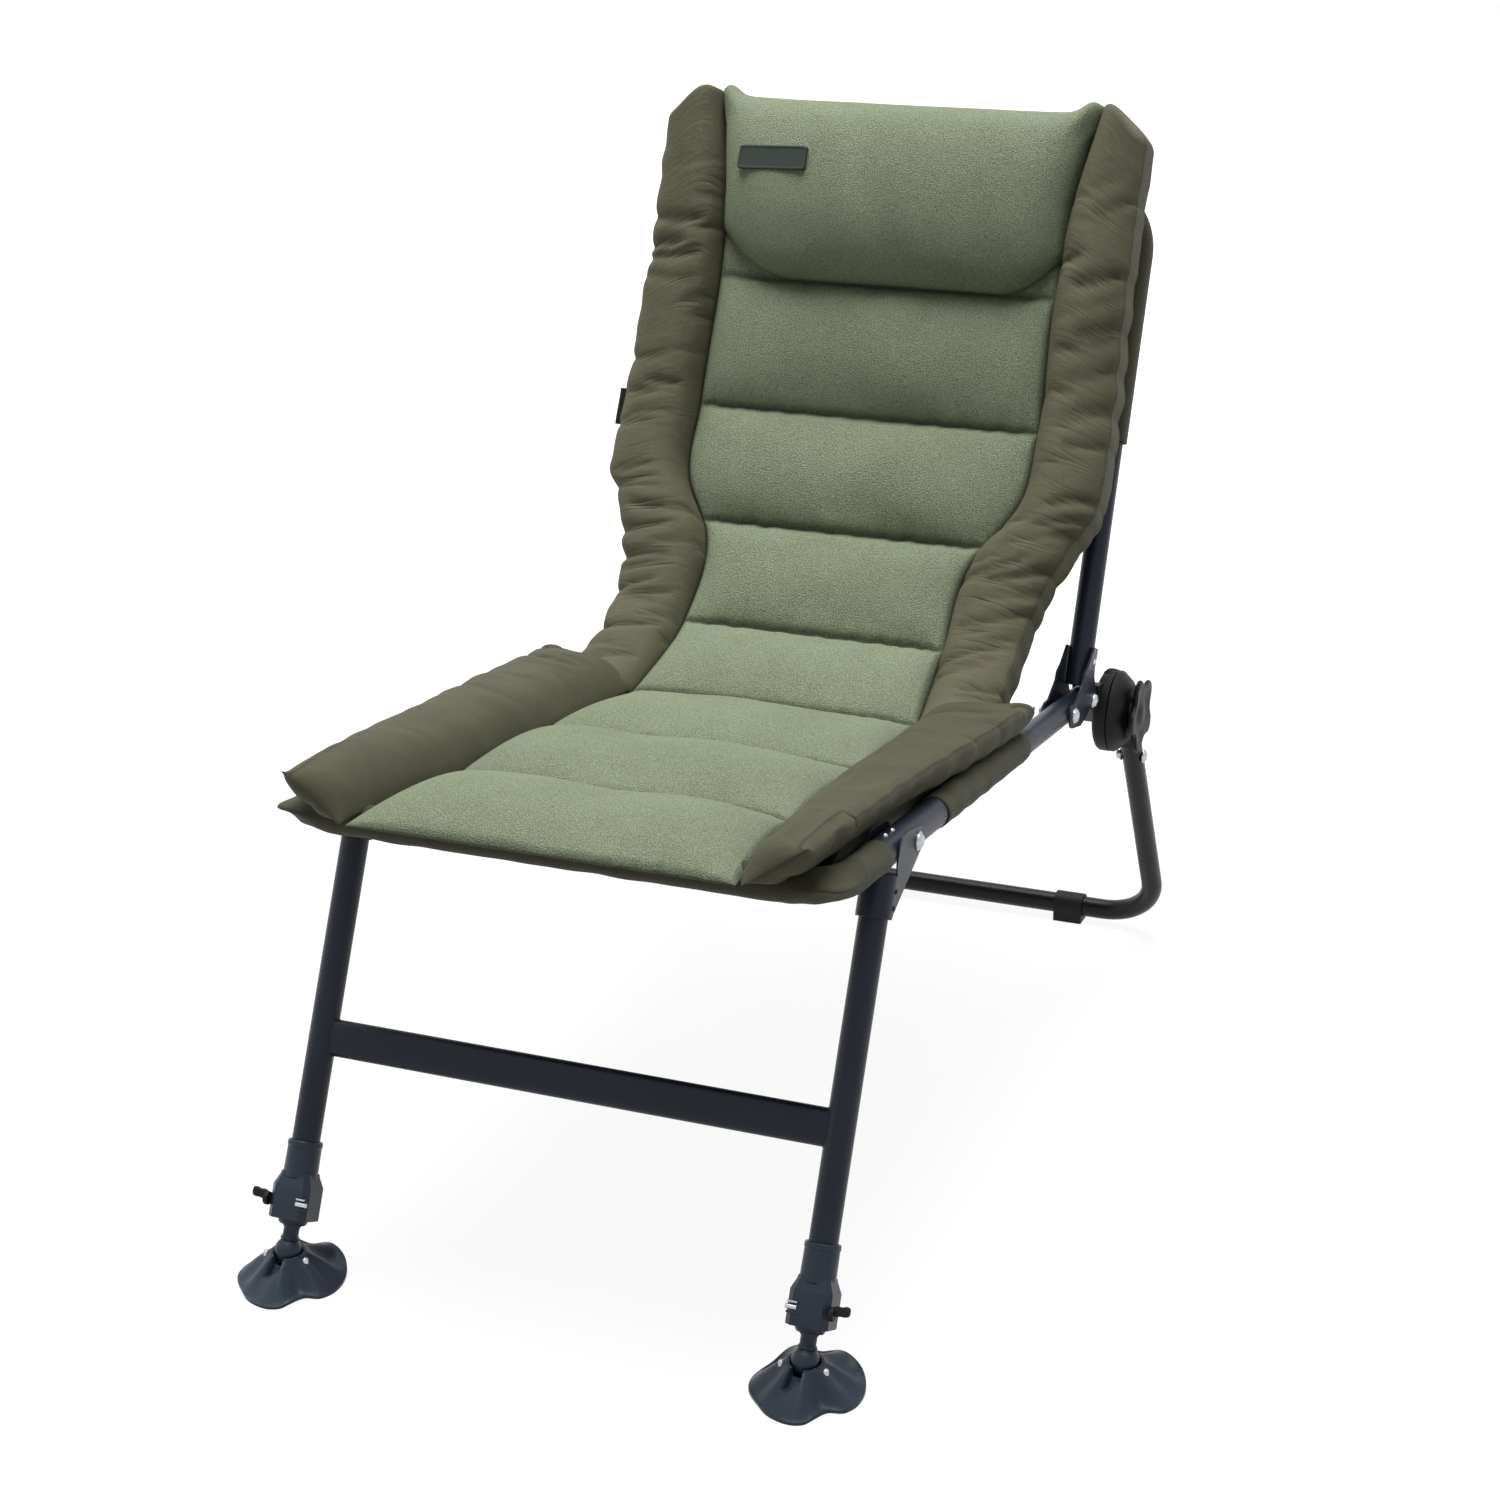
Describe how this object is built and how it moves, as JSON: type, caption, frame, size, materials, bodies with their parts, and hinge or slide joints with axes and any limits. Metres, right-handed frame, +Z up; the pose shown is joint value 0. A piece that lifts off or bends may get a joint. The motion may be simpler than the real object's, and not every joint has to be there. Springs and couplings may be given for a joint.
{
  "type": "folding fishing chair",
  "caption": "Low folding fishing chair with padded seat and backrest, telescopic front legs on swivelling mud feet and a ratchet-held rear leg frame.",
  "frame": {"origin": "on the ground, in the middle of the chair's length and width at rest", "axes": "+Z up, -Y towards the front of the chair, +X towards the sitter's left side, the viewer's right from the front"},
  "size_m": [0.624, 1.036, 0.907],
  "materials": {
    "frame": "satin dark blue-black powder coat",
    "plastic": "matte black moulded plastic",
    "foot": "matte dark blue-grey moulded plastic",
    "zinc": "bright zinc plating",
    "fleece": "soft sage green microfleece",
    "bolster": "olive-brown woven polyester with gathers",
    "sheet": "olive-brown heavy woven polyester",
    "badge": "matte dark grey-green moulded rubber, blank",
    "label": "black woven tape, blank"
  },
  "bodies": {
    "seat": {"seat_frame": "frame", "seat_base_sheet": "sheet", "seat_cushion": "fleece", "seat_bolster_l": "bolster", "seat_bolster_r": "bolster", "leg_saddle_l": "frame", "leg_saddle_r": "frame", "leg_pivot_bolt_l": "zinc", "leg_pivot_bolt_r": "zinc", "hinge_bolt_l": "zinc", "hinge_bolt_r": "zinc", "rail_end_bolt_l": "zinc", "rail_end_bolt_r": "zinc", "ratchet_inner_l": "plastic", "ratchet_inner_r": "plastic", "ratchet_axle_l": "zinc", "ratchet_axle_r": "zinc"},
    "backrest": {"back_frame": "frame", "hinge_bracket_l": "frame", "hinge_bracket_r": "frame", "back_cover": "sheet", "back_cushion": "fleece", "back_bolster_l": "bolster", "back_bolster_r": "bolster", "headrest_pillow": "fleece", "badge_plate": "badge", "side_label": "label"},
    "front_legs": {"leg_tube_l": "frame", "leg_tube_r": "frame", "leg_crossbar": "frame", "leg_bracket_l": "frame", "leg_bracket_r": "frame", "leg_collar_l": "plastic", "leg_collar_r": "plastic"},
    "lever_l": {"clamp_lever_l": "plastic"},
    "lever_r": {"clamp_lever_r": "plastic"},
    "inner_leg_l": {"inner_leg_l": "frame"},
    "inner_leg_r": {"inner_leg_r": "frame"},
    "ball_l": {"foot_ball_l": "foot"},
    "ball_r": {"foot_ball_r": "foot"},
    "foot_l": {"mud_foot_l": "foot", "ball_strap_l": "foot"},
    "foot_r": {"mud_foot_r": "foot", "ball_strap_r": "foot"},
    "rear_leg": {"rear_leg_frame": "frame", "ratchet_outer_l": "plastic", "ratchet_outer_r": "plastic", "rear_leg_bolt_l": "zinc", "rear_leg_bolt_r": "zinc", "rear_clip_l": "plastic", "rear_clip_r": "plastic"},
    "knob_l": {"knob_l": "plastic"},
    "knob_r": {"knob_r": "plastic"}
  },
  "joints": [
    {"name": "backrest_fold", "type": "hinge", "parent": "seat", "child": "backrest", "pos_m": [0, 0.2262, 0.35111], "axis": [1, 0, 0], "range_deg": [0, 70]},
    {"name": "front_legs_fold", "type": "hinge", "parent": "seat", "child": "front_legs", "pos_m": [0, -0.24119, 0.40519], "axis": [1, 0, 0], "range_deg": [0, 104]},
    {"name": "rear_leg_fold", "type": "hinge", "parent": "seat", "child": "rear_leg", "pos_m": [0, 0.34624, 0.31497], "axis": [1, 0, 0], "range_deg": [-120, 0]},
    {"name": "knob_l_turn", "type": "hinge", "parent": "seat", "child": "knob_l", "pos_m": [-0.3, 0.34624, 0.31497], "axis": [1, 0, 0], "continuous": true},
    {"name": "knob_r_turn", "type": "hinge", "parent": "seat", "child": "knob_r", "pos_m": [0.3, 0.34624, 0.31497], "axis": [1, 0, 0], "continuous": true},
    {"name": "lever_l_turn", "type": "hinge", "parent": "front_legs", "child": "lever_l", "pos_m": [-0.245, -0.46547, 0.07523], "axis": [1, 0, 0], "range_deg": [0, 90]},
    {"name": "lever_r_turn", "type": "hinge", "parent": "front_legs", "child": "lever_r", "pos_m": [0.245, -0.46547, 0.07523], "axis": [1, 0, 0], "range_deg": [0, 90]},
    {"name": "leg_l_extend", "type": "slide", "parent": "front_legs", "child": "inner_leg_l", "axis": [0, -0.4437, -0.8962], "range_m": [0, 0.08]},
    {"name": "leg_r_extend", "type": "slide", "parent": "front_legs", "child": "inner_leg_r", "axis": [0, -0.4437, -0.8962], "range_m": [0, 0.08]},
    {"name": "foot_l_roll", "type": "hinge", "parent": "inner_leg_l", "child": "ball_l", "pos_m": [-0.245, -0.47246, 0.0307], "axis": [0, 1, 0], "range_deg": [-15, 15]},
    {"name": "foot_r_roll", "type": "hinge", "parent": "inner_leg_r", "child": "ball_r", "pos_m": [0.245, -0.47246, 0.0307], "axis": [0, 1, 0], "range_deg": [-15, 15]},
    {"name": "foot_l_pitch", "type": "hinge", "parent": "ball_l", "child": "foot_l", "pos_m": [-0.245, -0.47246, 0.0307], "axis": [1, 0, 0], "range_deg": [-20, 20]},
    {"name": "foot_r_pitch", "type": "hinge", "parent": "ball_r", "child": "foot_r", "pos_m": [0.245, -0.47246, 0.0307], "axis": [1, 0, 0], "range_deg": [-20, 20]}
  ]
}
